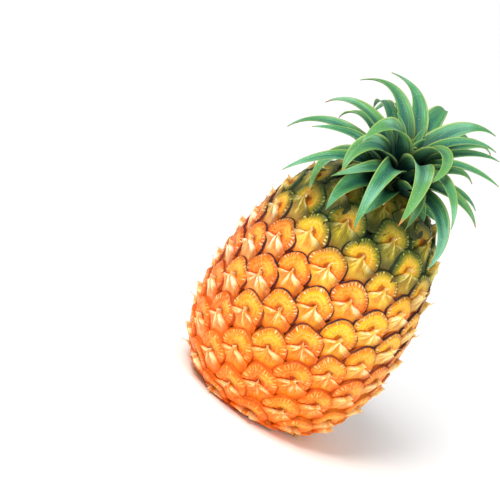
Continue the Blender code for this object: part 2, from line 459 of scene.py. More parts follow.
def dome_mesh(kind):
    """A fan-shaped cushion with folds and ribs, closed underneath."""
    rng = random.Random(100 + kind)
    corners = [(rng.uniform(0, 2 * math.pi), rng.uniform(0.015, 0.04)) for _ in range(3)]
    ribs = rng.randint(19, 25)
    folds = rng.uniform(0, 6)
    height = DOME_HEIGHT + rng.uniform(-0.2, 0.4)
    points, edges, faces, rings = [], [], [], []

    def outline(angle):
        wobble = sum(size * math.cos((i + 3) * angle + turn) for i, (turn, size) in enumerate(corners))
        return DOME_REACH * (1 + wobble) * (1 - 0.15 * smooth_step(-math.sin(angle), 0.3, 1.0))

    def surface(angle, share):
        lift = height * between(DOME_PROFILE, share) * (0.85 + 0.15 * math.sin(angle))
        hidden = smooth_step(-math.sin(angle), 0.25, 0.7) * smooth_step(share, 0.1, 0.5)
        lift = lift * (1 - hidden) - 1.2 * hidden
        middle = smooth_step(share, 0.2, 0.4) * smooth_step(share, 0.88, 0.7)
        lift += 0.16 * middle * math.sin(share * 24 + folds + 0.8 * math.sin(2 * angle + folds))
        outer = smooth_step(share, 0.5, 0.75) * smooth_step(share, 1.0, 0.85)
        return lift + 0.13 * outer * math.sin(ribs * angle + folds)

    def add_ring(share, edge, lift=None):
        count = DOME_SIDES if share else 1
        for side in range(count):
            angle = 2 * math.pi * side / DOME_SIDES
            x = DOME_CENTRE[0] + outline(angle) * share * math.cos(angle)
            y = DOME_CENTRE[1] + outline(angle) * share * math.sin(angle)
            rise = surface(angle, share) if lift is None else lift
            points.append((x, y, level_under(x, y) + rise))
            edges.append(edge)
        rings.append(range(len(points) - count, len(points)))

    for share in DOME_RINGS:
        add_ring(share, share)
    for share, lift, edge in DOME_UNDERSIDE:
        add_ring(share, edge, lift)
    add_ring(0.0, 0.0, DOME_UNDERSIDE[-1][1])
    for inner, outer in zip(rings, rings[1:]):
        join_loops(faces, inner, outer)
    return eye_shape(f"dome_{kind}", points, faces, edge=edges)


BRACT_SPANS = 34
BRACT_STEPS = 15
LEFT_CORNER = 208.0
RIGHT_CORNER = 338.0
PEAK_DROP = 1.6
PEAK_RISE = 3.3
# How far a bract runs from its peak in each direction in degrees.
BRACT_REACHES = (
    (LEFT_CORNER, 12.6),
    (225, 13.5),
    (250, 15.0),
    (275, 15.5),
    (300, 15.5),
    (320, 13.5),
    (RIGHT_CORNER, 11.6),
)


def hump(value, wide, power=2):
    """1 at zero, and a smooth fall on both sides of it."""
    return math.exp(-(abs(value / wide) ** power))


def bract_creases(rng):
    """Each crease's direction, size, width and bend."""
    count = rng.choice((3, 4, 5))
    creases = []
    for i in range(count):
        at = 222 + 100 * (i + 0.5) / count + rng.gauss(0, 7)
        size, wide = rng.uniform(0.4, 1.25), rng.uniform(5, 10)
        creases.append((at, size, wide, (at - 272) * rng.uniform(0.15, 0.75)))
    return creases


def bract_mesh(kind):
    """A creased tent that falls from a curled peak to both corners and down, closed underneath."""
    rng = random.Random(300 + kind)
    creases = bract_creases(rng)
    rise = PEAK_RISE + rng.uniform(-0.5, 0.7)
    lean = rng.uniform(-1.5, 1.5)
    points, reaches, ridges, faces = [], [], [], []

    def add(span, step, lift=0.0, inset=0.0):
        across = span / BRACT_SPANS
        far = (step / BRACT_STEPS) ** 1.15
        pinch = 46 * hump(far * 13, 4.2)
        angle = LEFT_CORNER + pinch + (RIGHT_CORNER - LEFT_CORNER - 2 * pinch) * across
        reach = between(BRACT_REACHES, LEFT_CORNER + (RIGHT_CORNER - LEFT_CORNER) * across) * far
        reach *= 1 - inset
        x = reach * math.cos(math.radians(angle)) + lean * hump(reach, 3)
        y = reach * math.sin(math.radians(angle)) + 1.3 * hump(reach, 2) - PEAK_DROP
        crease = sum(
            size * hump(angle - at - bend * (reach / 10) ** 2, wide) for at, size, wide, bend in creases
        )
        crease *= smooth_step(reach, 0.4, 3.5) * (0.3 + 0.7 * smooth_step(reach, 15, 4))
        side = abs(across - 0.5) * 2
        tent = rise * hump(reach, 3.8, 0.95)
        shoulder = 1.2 * hump(reach, 10) * (1 - 0.5 * side * side)
        lip = 0.7 * smooth_step(side, 0.72, 1.0) * smooth_step(reach, 1.5, 4)
        wing = 0.8 * smooth_step(side, 0.4, 1.0) * smooth_step(reach, 2, 9)
        fall = 0.0042 * reach * reach * (1 - 0.7 * side)
        up = level_under(x, y) + 0.55 + tent + shoulder + wing + 0.8 * crease + lip - fall
        points.append((x, y, up + lift))
        reaches.append(far)
        ridges.append(min(1.0, crease + lip * 1.5))
        return len(points) - 1

    peak = add(BRACT_SPANS / 2, 0)
    rows = [[peak] * (BRACT_SPANS + 1)]
    for step in range(1, BRACT_STEPS + 1):
        rows.append([add(span, step) for span in range(BRACT_SPANS + 1)])
    for upper, lower in zip(rows, rows[1:]):
        for i in range(BRACT_SPANS):
            ring = (upper[i], lower[i], lower[i + 1], upper[i + 1])
            faces.append(tuple(dict.fromkeys(ring)))
    border = [(0, step) for step in range(BRACT_STEPS + 1)]
    border += [(span, BRACT_STEPS) for span in range(1, BRACT_SPANS + 1)]
    border += [(BRACT_SPANS, step) for step in range(BRACT_STEPS - 1, 0, -1)]
    outer = [rows[step][span] for span, step in border]
    wall = [add(span, step, -0.7) for span, step in border]
    low = [add(span, step, -3.4, 0.12) for span, step in border]
    bottom = add(BRACT_SPANS / 2, BRACT_STEPS / 2, -5.0)
    for first, second in ((outer, wall), (wall, low), (low, [bottom])):
        join_loops(faces, first, second)
    return eye_shape(f"bract_{kind}", points, faces, reach=reaches, ridge=ridges)


TIP_STEPS = 7
TIP_SIDES = 5
TIP_LENGTHS = (2.4, 8.5, 3.2, 6.5, 4.5)


def tip_mesh(kind):
    """A thin dried point that curls up from a bract's peak."""
    rng = random.Random(500 + kind)
    curl = math.radians(rng.uniform(60, 160) * rng.choice((-1, 1)))
    slope = math.radians(rng.uniform(35, 70))
    middle = Vector((0.0, -0.4 - PEAK_DROP, 4.0))
    points, along, faces, rings = [], [], [], []
    for step in range(TIP_STEPS + 1):
        share = step / TIP_STEPS
        turn = curl * share
        flat = math.cos(slope)
        way = Vector((math.sin(turn) * flat, math.cos(turn) * flat, math.sin(slope)))
        side = way.orthogonal().normalized()
        other = way.cross(side) * 0.45
        thick = 0.42 * (1 - share) ** 0.7 + 0.03
        for corner in range(TIP_SIDES):
            angle = 2 * math.pi * corner / TIP_SIDES
            points.append(middle + (side * math.cos(angle) + other * math.sin(angle)) * thick)
            along.append(share)
        rings.append(range(len(points) - TIP_SIDES, len(points)))
        middle = middle + way * TIP_LENGTHS[kind] / TIP_STEPS
        slope -= math.radians(rng.uniform(2, 14))
    for lower, upper in zip(rings, rings[1:]):
        join_loops(faces, upper, lower)
    faces.append(tuple(reversed(rings[0])))
    faces.append(tuple(rings[-1]))
    return eye_shape(f"tip_{kind}", points, faces, along=along)


# --- Geometry Nodes ---


class Nodes(NodeMaker):
    """A Geometry Nodes tree under construction."""

    def __init__(self, name):
        self.tree = bpy.data.node_groups.new(name, "GeometryNodeTree")
        for way in ("INPUT", "OUTPUT"):
            self.tree.interface.new_socket("Geometry", in_out=way, socket_type="NodeSocketGeometry")
        self.start = self.node("NodeGroupInput")

    def setting(self, name, default):
        made = self.tree.interface.new_socket(name, in_out="INPUT", socket_type="NodeSocketFloat")
        made.default_value = default
        return self.start.outputs[name]

    def named(self, name, kind="FLOAT"):
        made = self.node("GeometryNodeInputNamedAttribute", {"data_type": kind}, Name=name)
        return made.outputs["Attribute"]


UNEVENNESS = 0.0016
GRAIN = 130.0
LOWEST = 0.0004


def scatter_tree(name, shapes, material):
    """Sets a shape on each point, roughens the result and keeps it above the ground."""
    nodes = Nodes(name)
    uneven = nodes.setting("Unevenness", UNEVENNESS)
    grain = nodes.setting("Grain", GRAIN)
    lowest = nodes.setting("Lowest", LOWEST)
    own = {"transform_space": "ORIGINAL"}
    info = nodes.node("GeometryNodeCollectionInfo", own, Collection=shapes, Separate_Children=True)
    turn = nodes.node(
        "FunctionNodeAxesToRotation",
        {"primary_axis": "Z", "secondary_axis": "Y"},
        _0=nodes.named("facing", "FLOAT_VECTOR"),
        _1=nodes.named("upward", "FLOAT_VECTOR"),
    )
    size = nodes.named("size")
    placed = nodes.node(
        "GeometryNodeInstanceOnPoints",
        Points=nodes.start.outputs["Geometry"],
        Instance=info.outputs[0],
        Pick_Instance=True,
        Instance_Index=nodes.node("FunctionNodeFloatToInt", _0=nodes.named("kind")).outputs[0],
        Rotation=turn.outputs[0],
        Scale=nodes.node("ShaderNodeCombineXYZ", _0=size, _1=size, _2=size).outputs[0],
    )
    made = nodes.node("GeometryNodeRealizeInstances", _0=placed.outputs[0])
    where = nodes.node("GeometryNodeInputPosition").outputs[0]
    wander = nodes.node("ShaderNodeTexNoise", Vector=where, Scale=grain, Detail=2.0).outputs["Color"]
    half = (0.5, 0.5, 0.5)
    centred = nodes.node("ShaderNodeVectorMath", {"operation": "SUBTRACT"}, _0=wander, _1=half).outputs[0]
    offset = nodes.node("ShaderNodeVectorMath", {"operation": "SCALE"}, _0=centred, Scale=uneven)
    moved = nodes.node("GeometryNodeSetPosition", Geometry=made.outputs[0], Offset=offset.outputs[0])
    x, y, z = nodes.node("ShaderNodeSeparateXYZ", _0=where).outputs
    kept = nodes.node("ShaderNodeMath", {"operation": "MAXIMUM"}, _0=z, _1=lowest).outputs[0]
    flat = nodes.node("ShaderNodeCombineXYZ", _0=x, _1=y, _2=kept)
    rested = nodes.node("GeometryNodeSetPosition", Geometry=moved.outputs[0], Position=flat.outputs[0])
    dressed = nodes.node("GeometryNodeSetMaterial", Geometry=rested.outputs[0], Material=material)
    nodes.node("NodeGroupOutput", _0=dressed.outputs[0])
    return nodes.tree


def scatter(name, points, shape_of, material):
    """One finished object of a shape's kinds, set on the points."""
    group = bpy.data.collections.new(name)
    for kind in range(VARIANTS):
        mesh = shape_of(kind)
        group.objects.link(bpy.data.objects.new(mesh.name, mesh))
    holder = bpy.data.objects.new(name + "_points", points)
    bpy.context.scene.collection.objects.link(holder)
    holder.modifiers.new(name, "NODES").node_group = scatter_tree(name + "_nodes", group, material)
    bpy.context.view_layer.update()
    graph = bpy.context.evaluated_depsgraph_get()
    grown = holder.evaluated_get(graph)
    mesh = bpy.data.meshes.new_from_object(grown, preserve_all_data_layers=True, depsgraph=graph)
    holder.modifiers.clear()
    for used in (holder, *group.objects):
        bpy.data.objects.remove(used, do_unlink=True)
    bpy.data.collections.remove(group)
    return add_object(name, mesh, material)


# --- Skins of the fruit ---


def warmth(skin):
    """How ripe and how green the skin is at each place, and how much painted shade from the crown's
    leaves falls on it.
    """
    x, y, z = skin.split(skin.place())
    patches = skin.mottle(skin.place(), 14.0, 2.0)
    ripe = 0.55 - x * 8.0 - (z - 0.06) * 6.0 + (patches - 0.5) * 1.4
    green = skin.step(z + (patches - 0.5) * 0.035 + x * 0.04, 0.096, 0.130)
    shaded = skin.step(z - x * 0.12 - y * 0.1, 0.124, 0.146)
    return ripe, green, shaded


def low_share(skin):
    """1 at the fruit's base and 0 from half way up."""
    return skin.step(skin.split(skin.place())[2], 0.085, 0.03)


def radial(skin, x, y, fineness, tone, along):
    """The direction from an eye's middle, and streaks that follow it."""
    away = skin.math("SQRT", x * x + y * y) + 0.03
    ray = skin.join(x / away * fineness + tone * 9.0, y / away * fineness, along)
    return ray, skin.mottle(ray, 2.3, 3.0)


def dome_skin(fruit):
    skin = Skin("eye_face")
    edge = skin.number("edge")
    tone = skin.number("tone")
    lx, ly, _ = skin.split(skin.attribute("local").outputs["Vector"])
    across, upward = lx - DOME_CENTRE[0], ly - DOME_CENTRE[1]
    angle = skin.math("ARCTAN2", upward, across)
    ripe, green, shaded = warmth(skin)
    ripe = ripe + tone * 0.5
    low = low_share(skin)
    ray, streak = radial(skin, across, upward, 5.0, tone, edge * 1.4)
    stray = streak - 0.5
    face = skin.mix(skin.step(ripe, -0.1, 0.6), fruit.golden, fruit.orange)
    ripe = skin.step(ripe, 0.5, 1.2)
    face = skin.mix(ripe, face, fruit.ripe)
    face = skin.mix(low * 0.4, face, (0.95, 0.24, 0.002))
    # A painted highlight on the upper part, and painted shade that makes the side away from the light
    # redder.
    highlight_x, highlight_y = across - 1.5 - tone * 2.0, upward - 4.0
    highlight = skin.step(highlight_x * highlight_x + highlight_y * highlight_y + streak * 8.0, 34.0, 6.0)
    face = skin.mix(highlight * 0.6, face, (0.98, 0.52, 0.04))
    shade_side = skin.step(upward - across * 0.4 - streak * 3.0, 1.5, -5.0)
    face = skin.mix(shade_side * 0.65, face, (0.80, 0.10, 0.004))
    face = skin.mix(skin.step(streak, 0.52, 0.72) * 0.5, face, (0.99, 0.58, 0.10))
    vein = skin.mix(low, (0.60, 0.09, 0.006), (0.86, 0.12, 0.002))
    face = skin.mix(skin.step(streak, 0.47, 0.30) * 0.6, face, vein)
    greens = skin.mix(skin.step(edge + stray * 0.5, 0.35, 0.8), (0.72, 0.52, 0.010), fruit.young)
    face = skin.mix(green * skin.step(edge + stray + tone * 0.15, 0.0, 0.6) * 0.95, face, greens)
    # Faint folds round the middle.
    rings = skin.math("SINE", edge * 26.0 + streak * 12.0 + tone * 5.0)
    folds = skin.step(rings, 0.3, 1.0) * skin.band(edge, 0.3, 0.66, 0.12)
    face = skin.mix(folds * 0.16, face, fruit.pale)
    # Painted shade under the rim, and thin pale ticks on it.
    ring_shade = skin.band(edge + stray * 0.14, 0.77, 0.97, 0.09)
    shade = skin.mix(low, (0.42, 0.07, 0.004), (0.84, 0.13, 0.002))
    shade = skin.mix(green, shade, (0.05, 0.085, 0.006))
    face = skin.mix(ring_shade * (0.72 + green * 0.2), face, shade)
    jitter = skin.mottle(ray, 1.1, 1.0)
    pale = skin.mix(low, fruit.pale, (1.0, 0.62, 0.16))
    ticks = skin.step(skin.math("SINE", angle * 31.0 + jitter * 15.0 + tone * 3.0), 0.25, 0.95)
    reached = edge + stray * 0.34
    ticks = ticks * skin.step(reached + low * 0.14, 0.74, 0.84) * skin.step(reached, 0.95, 0.85)
    ticks = ticks * skin.step(jitter, 0.38, 0.54)
    face = skin.mix(ticks * 0.75, face, skin.mix(green, pale, (0.62, 0.66, 0.12)))
    # Painted shade in the hollow by the middle, and the dark rim.
    face = skin.mix(skin.step(edge + stray * 0.2, 0.36, 0.1) * 0.75, face, (0.42, 0.03, 0.004))
    worn = skin.mottle(skin.place(), 300.0, 2.0)
    rim = skin.step(edge + (worn - 0.5) * 0.06 + stray * 0.07 + green * 0.035, 0.915, 0.965)
    rim_colour = skin.mix(ripe, fruit.outline, (0.10, 0.012, 0.008))
    rim_colour = skin.mix(low * 0.85, rim_colour, (0.46, 0.045, 0.003))
    rim_colour = skin.mix(green, rim_colour, (0.008, 0.022, 0.006))
    lower = skin.mix(green, (0.52, 0.11, 0.008), (0.07, 0.05, 0.008))
    rim_colour = skin.mix(skin.step(edge, 1.0, 1.07), rim_colour, lower)
    face = skin.mix(rim * (1 - low * 0.35), face, rim_colour)
    specks = skin.step(skin.mottle(skin.place(), 1400.0, 1.0), 0.70, 0.78)
    face = skin.mix(specks * 0.3 * (1 - rim), face, (1.0, 0.85, 0.5))
    # Painted shade of the crown's leaves near the top.
    face = skin.mix(shaded * 0.6, face, (0.02, 0.03, 0.006))
    rough = 0.32 + worn * 0.16 + rim * 0.2
    bump = streak * 0.7 + rings * 0.15 + ticks * 0.3 + worn * 0.25
    return skin.finish(face, rough, bump, 0.0005, shine=0.2)


def bract_skin(fruit):
    skin = Skin("bract")
    reach = skin.number("reach")
    ridge = skin.number("ridge")
    tone = skin.number("tone")
    lx, ly, _ = skin.split(skin.attribute("local").outputs["Vector"])
    ripe, green, shaded = warmth(skin)
    ripe = ripe + tone * 0.3
    low = low_share(skin)
    _, streak = radial(skin, lx, ly + PEAK_DROP, 6.0, tone, reach * 2.0)
    stray = streak - 0.5
    face = skin.mix(skin.step(ripe, -0.1, 0.6), (0.94, 0.56, 0.04), (0.92, 0.36, 0.014))
    face = skin.mix(skin.step(ripe, 0.5, 1.2), face, (0.86, 0.16, 0.005))
    face = skin.mix(low * 0.5, face, (0.96, 0.27, 0.003))
    x = skin.split(skin.place())[0] + stray * 0.03
    # Painted light: the bracts on the side towards the key lamp are paler.
    lit = skin.step(x, -0.012, -0.05)
    face = skin.mix(lit * 0.42, face, (1.0, 0.70, 0.30))
    face = skin.mix(skin.step(x, 0.03, 0.056) * 0.45, face, (1.0, 0.80, 0.30))
    face = skin.mix(skin.step(streak, 0.5, 0.70) * 0.6, face, (0.98, 0.60, 0.12))
    vein = skin.mix(low, (0.66, 0.13, 0.01), (0.90, 0.15, 0.002))
    face = skin.mix(skin.step(streak, 0.47, 0.30) * 0.6, face, vein)
    olive = skin.mix(skin.step(streak, 0.4, 0.65), (0.13, 0.145, 0.006), (0.58, 0.47, 0.020))
    face = skin.mix(green * skin.step(reach + stray * 0.4, 0.0, 0.42) * 0.92, face, olive)
    # Painted shade: red-brown in the folds and towards the corners and the lower edge.
    fold_shade = skin.mix(green, (0.56, 0.085, 0.006), (0.08, 0.07, 0.006))
    fold_shade = skin.mix(low, fold_shade, (0.88, 0.13, 0.002))
    hollow = skin.step(ridge + stray * 0.4, 0.42, 0.02) * skin.band(reach, 0.08, 0.62, 0.12)
    face = skin.mix(hollow * 0.6, face, fold_shade)
    corner_shade = skin.mix(low, (0.13, 0.05, 0.012), (0.62, 0.11, 0.004))
    corner_shade = skin.mix(green, corner_shade, (0.035, 0.04, 0.006))
    aside = skin.math("ABSOLUTE", lx + 1.0)
    corner = skin.step(aside + streak * 3.5, 7.5, 12.0)
    face = skin.mix(corner * 0.72, face, corner_shade)
    face = skin.mix(skin.step(reach + stray * 0.4, 0.5, 0.95) * 0.75, face, fold_shade)
    # Fine pale lines, and painted highlights on the crests, whitest on the side that faces the light.
    fine = skin.mottle(skin.join(lx * 0.9 + tone * 5.0, ly * 0.22, reach), 1.6, 3.0)
    vein = skin.mix(green, (1.0, 0.74, 0.30), (0.62, 0.58, 0.06))
    face = skin.mix(skin.step(fine, 0.50, 0.66) * skin.step(reach, 0.9, 0.2) * 0.35, face, vein)
    light = skin.step(ridge + stray * 0.9 + (fine - 0.5) * 1.2, 0.5, 1.0)
    light = light * skin.step(reach + stray * 0.3, 0.85, 0.25)
    crest_highlight = skin.mix(low * 0.7, (1.0, 0.92, 0.72), (1.0, 0.70, 0.25))
    crest_highlight = skin.mix(green * 0.6, crest_highlight, (0.80, 0.76, 0.22))
    face = skin.mix(light * (0.6 + lit * 0.35) * (1 - green * 0.35), face, crest_highlight)
    # A painted highlight at the peak.
    face = skin.mix(skin.step(reach, 0.15, 0.02) * 0.5, face, (0.98, 0.80, 0.42))
    grain = skin.mottle(skin.place(), 420.0, 3.0)
    face = skin.mix(skin.step(grain, 0.60, 0.75) * 0.25 * (1 - green * 0.7), face, (1.0, 0.84, 0.5))
    # Painted shade: the edges of the green bracts are near black.
    margin = skin.step(reach + stray * 0.5 + aside * 0.025, 0.5, 0.85)
    face = skin.mix(green * margin * 0.75, face, (0.022, 0.034, 0.006))
    # Painted shade of the crown's leaves near the top.
    face = skin.mix(shaded * 0.6, face, (0.02, 0.03, 0.006))
    bump = streak * 0.8 + grain * 0.25
    return skin.finish(face, 0.34 + grain * 0.2, bump, 0.0005, shine=0.2)


def tip_skin():
    skin = Skin("bract_tip")
    fleck = skin.mottle(skin.place(), 240.0, 2.0)
    dried = skin.step(skin.number("along") + (fleck - 0.5) * 0.5, 0.3, 0.9)
    face = skin.mix(dried, (0.98, 0.72, 0.30), (0.66, 0.34, 0.10))
    return skin.finish(face, 0.6, fleck, 0.0001)


def groove_skin():
    skin = Skin("groove")
    fleck = skin.mottle(skin.place(), 90.0, 3.0)
    _, green, _ = warmth(skin)
    face = skin.mix(fleck, (0.10, 0.03, 0.01), (0.30, 0.12, 0.02))
    face = skin.mix(low_share(skin) * 0.8, face, (0.55, 0.12, 0.006))
    face = skin.mix(green, face, (0.012, 0.022, 0.006))
    return skin.finish(face, 0.7, fleck, 0.0005)


# --- The leaves ---

# One row for each leaf, from the lowest to the innermost: heading, rise of its base above the
# stem's own level, curl and sideways sweep in degrees, then length and width in millimetres.
LEAVES = (
    (-120, 35, 65, 10, 60, 13),
    (15, 50, 95, 0, 45, 9),
    (145, 50, 130, 0, 55, 9),
    (-90, 45, 80, -5, 45, 12),
    (70, 55, 115, -5, 70, 9),
    (-160, 40, 122, 30, 55, 10),
    (-35, 45, 115, -15, 65, 13),
    (110, 40, 130, 5, 80, 9),
    (35, 55, 105, 0, 45, 10),
    (175, 30, 95, 5, 65, 10),
    (-65, 55, 80, -10, 70, 10),
    (90, 55, 100, -5, 65, 14),
    (-135, 35, 80, 0, 75, 9),
    (-5, 40, 95, 5, 50, 11),
    (135, 60, 145, -10, 60, 10),
    (-110, 50, 85, -10, 60, 10),
    (50, 60, 110, 0, 65, 11),
    (-150, 45, 65, 0, 60, 9),
    (-45, 72, 121, -5, 70, 11),
    (100, 60, 85, 25, 60, 12),
    (20, 75, 95, 5, 56, 8),
    (165, 50, 115, 0, 60, 11),
    (-101, 50, 110, 7, 82, 12),
    (66, 60, 80, -15, 60, 12),
    (-143, 58, 120, 22, 54, 14),
    (-16, 71, 87, 9, 58, 9),
    (128, 62, 118, 15, 63, 11),
    (-74, 64, 116, -6, 88, 14),
    (93, 80, 65, 0, 24, 5),
    (-134, 85, 125, 13, 67, 14),
    (22, 85, 107, 0, 55, 8),
    (155, 80, 60, 0, 26, 7),
    (-30, 95, 150, -40, 60, 11),
)

CURL_GROWTH = 1.3
LEAF_STATIONS = 44
LEAF_SPANS = 12
FINE_STEPS = 4
CLEARANCE = 0.0003
GOLDEN_ANGLE = 137.5
COLLAR_HEIGHT = 0.0022
HEART_DEPTH = 0.004
LEAST_HALF_WIDTH = 0.00012


def stem_radius(crown, height):
    return crown.stem_radius + (crown.stem_tip_radius - crown.stem_radius) * height / crown.stem_length


def stem_frame(crown):
    return Matrix.Translation((0, 0, FRUIT_TOP)) @ Matrix.Rotation(crown.lean, 4, "X")


def leaf_line(row, start, height):
    """Places down the middle of a leaf in the stem's frame, each with its direction and side."""
    heading, rise, curl, sweep, span, _ = row
    last = LEAF_STATIONS * FINE_STEPS
    out, up = start, height
    points, angles = [], []
    for i in range(last + 1):
        share = i / last
        slope = math.radians(rise - curl * share**CURL_GROWTH)
        angles.append(math.radians(heading + sweep * share**2))
        points.append(Vector((out * math.cos(angles[i]), out * math.sin(angles[i]), up)))
        out += math.cos(slope) * span * MM / last
        up += math.sin(slope) * span * MM / last
    for i in range(0, last + 1, FINE_STEPS):
        along = (points[min(i + 1, last)] - points[max(i - 1, 0)]).normalized()
        round_stem = Vector((-math.sin(angles[i]), math.cos(angles[i]), 0))
        side = (round_stem - along * round_stem.dot(along)).normalized()
        yield points[i], along, side


def leaf_width(share):
    """A share of the widest: a clasping foot, a full middle and a long drawn-out point."""
    foot = 0.62 + 0.38 * smooth_step(share, 0.0, 0.22)
    return foot * (1 - share**2.1) ** 0.95


def leaf_section(crown, share, half, wave):
    """The outline of a cut across a leaf, as (across, height) round both of its faces."""
    channel = 0.62 - 0.36 * share
    thick = crown.thickness * (1 - 0.65 * share)
    ripple = 0.02 * math.sin(share * 17 + wave) * smooth_step(share, 0.1, 0.5)
    section = []
    for i in range(2 * LEAF_SPANS):
        lower_face = i > LEAF_SPANS
        across = 3 - i / LEAF_SPANS * 2 if lower_face else i / LEAF_SPANS * 2 - 1
        lift = half * channel * (abs(across) ** 1.6 + ripple * across)
        if lower_face:
            lift -= thick * (1 - 0.75 * abs(across) ** 2.2)
        section.append((across, lift))
    return section


def leaf_piece(name, crown, leaves, skin):
    """One object of one or more leaves, each a (row, height along the stem, number)."""
    points, faces, shares, sides, tints = [], [], [], [], []
    for row, height, number in leaves:
        wave = random.Random(900 + number).uniform(0, 6)
        start = stem_radius(crown, height) + CLEARANCE + crown.thickness
        rings = []
        for k, (middle, along, side) in enumerate(leaf_line(row, start, height)):
            share = k / LEAF_STATIONS
            half = max(LEAST_HALF_WIDTH, row[5] * MM * 0.57 * leaf_width(share))
            upper = along.cross(side)
            for across, lift in leaf_section(crown, share, half, wave):
                points.append(middle + side * half * across + upper * lift)
                shares.append(share)
                sides.append(across)
                tints.append(number * 0.37 % 1.0)
            rings.append(range(len(points) - 2 * LEAF_SPANS, len(points)))
        for lower, higher in zip(rings, rings[1:]):
            join_loops(faces, lower, higher)
        faces += [tuple(rings[0]), tuple(reversed(rings[-1]))]
    mesh = plain_mesh(name, points, faces, along=shares, across=sides, own=tints)
    mesh.transform(stem_frame(crown))
    shape = bmesh.new()
    shape.from_mesh(mesh)
    bmesh.ops.recalc_face_normals(shape, faces=shape.faces)
    shape.to_mesh(mesh)
    shape.free()
    return add_object(name, mesh, skin)


def leaf_skin(crown):
    skin = Skin("leaf")
    along = skin.number("along")
    across = skin.number("across")
    own = skin.number("own")
    place = skin.place()
    side = skin.math("ABSOLUTE", across)
    # Fine lines down the leaf, and a pale bloom.
    lines = skin.mottle(skin.join(across * 9.0, along * 1.2, own * 40.0), 2.2, 3.0)
    stray = lines - 0.5
    cloud = skin.mottle(place, 55.0, 2.0)
    face = skin.mix(skin.step(lines, 0.32, 0.7), crown.green, (0.11, 0.36, 0.10))
    face = skin.mix(skin.step(own + (cloud - 0.5) * 0.4, 0.4, 0.8) * 0.5, face, (0.15, 0.34, 0.06))
    bloom = skin.step(cloud + stray + along * 0.1, 0.55, 0.8)
    face = skin.mix(bloom * 0.6, face, (0.28, 0.60, 0.44))
    # A dark channel, partly the leaf's own teal and partly painted shade; painted shade darkening the
    # lower half towards the foot; and a thin pale edge.
    channel = skin.step(side + stray * 0.3, 0.75, 0.05) * skin.step(along, 0.95, 0.4)
    face = skin.mix(channel * 0.85, face, crown.teal)
    face = skin.mix(skin.step(along + stray * 0.2, 0.5, 0.06) * 0.94, face, (0.002, 0.026, 0.028))
    edge = skin.step(side + stray * 0.12, 0.80, 0.98) * skin.step(along, 0.05, 0.4)
    face = skin.mix(edge * 0.9, face, crown.margin)
    # The dried tips of some leaves, and tiny scales.
    old = skin.step(own, 0.72, 0.76) * 0.05
    face = skin.mix(skin.step(along + (cloud - 0.5) * 0.06 + old, 0.975, 1.02), face, crown.dry)
    specks = skin.step(skin.mottle(place, 1500.0, 1.0), 0.64, 0.76) * skin.step(along, 0.1, 0.4)
    face = skin.mix(specks * 0.5, face, (0.50, 0.72, 0.56))
    return skin.finish(face, 0.42 + cloud * 0.2, lines * 0.8 + specks * 0.2, 0.0003, shine=0.25)


def stem_skin():
    skin = Skin("crown_stem")
    x, y, z = skin.split(skin.place())
    fibres = skin.mottle(skin.join(x * 400.0, y * 400.0, z * 40.0), 1.0, 3.0)
    face = skin.mix(fibres, (0.06, 0.12, 0.035), (0.22, 0.32, 0.10))
    return skin.finish(face, 0.6, fibres, 0.0004)


def stalk_skin():
    skin = Skin("cut_stalk")
    x, y, _ = skin.split(skin.place())
    away = skin.math("SQRT", x * x + y * y)
    fibres = skin.step(skin.mottle(skin.place(), 900.0, 2.0), 0.45, 0.7)
    face = skin.mix(fibres, (0.62, 0.46, 0.22), (0.32, 0.18, 0.07))
    face = skin.mix(skin.step(away, 0.0095, 0.012), face, (0.18, 0.09, 0.03))
    return skin.finish(face, 0.8, fibres, 0.0006)


# --- Operators ---


class PINEAPPLE_OT_core(bpy.types.Operator):
    """The dark skin that shows in the grooves between the eyes"""

    bl_idname = "pineapple.core"
    bl_label = "Grooves"

    def execute(self, context):
        fruit = context.scene.pineapple_fruit
        piece = add_object("groove_skin", groove_mesh(fruit), groove_skin())
        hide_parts("fruit")
        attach(piece, "root")
        return {"FINISHED"}


class PINEAPPLE_OT_domes(bpy.types.Operator):
    """The raised dome of each eye"""

    bl_idname = "pineapple.domes"
    bl_label = "Eye domes"

    def execute(self, context):
        fruit = context.scene.pineapple_fruit
        piece = scatter("eye_domes", eye_points(fruit), dome_mesh, dome_skin(fruit))
        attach(piece, "root")
        return {"FINISHED"}


class PINEAPPLE_OT_bracts(bpy.types.Operator):
    """The creased bract under each dome"""

    bl_idname = "pineapple.bracts"
    bl_label = "Bracts"

    def execute(self, context):
        fruit = context.scene.pineapple_fruit
        piece = scatter("bracts", eye_points(fruit), bract_mesh, bract_skin(fruit))
        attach(piece, "root")
        return {"FINISHED"}


class PINEAPPLE_OT_tips(bpy.types.Operator):
    """The dried point at the peak of each bract"""

    bl_idname = "pineapple.tips"
    bl_label = "Bract tips"

    def execute(self, context):
        fruit = context.scene.pineapple_fruit
        piece = scatter("bract_tips", eye_points(fruit), tip_mesh, tip_skin())
        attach(piece, "root")
        return {"FINISHED"}


class PINEAPPLE_OT_leaves(bpy.types.Operator):
    """The leaves of the crown"""

    bl_idname = "pineapple.leaves"
    bl_label = "Leaves"

    def execute(self, context):
        crown = context.scene.pineapple_crown
        skin = leaf_skin(crown)
        for number, row in enumerate(LEAVES):
            name = f"leaf_{number + 1:02d}"
            climb = (crown.last_leaf - crown.first_leaf) * number / (len(LEAVES) - 1)
            height = crown.first_leaf + climb + crown.thickness
            piece = leaf_piece(f"crown_{name}", crown, [(row, height, number)], skin)
            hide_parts(name)
            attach(piece, "root")
        return {"FINISHED"}


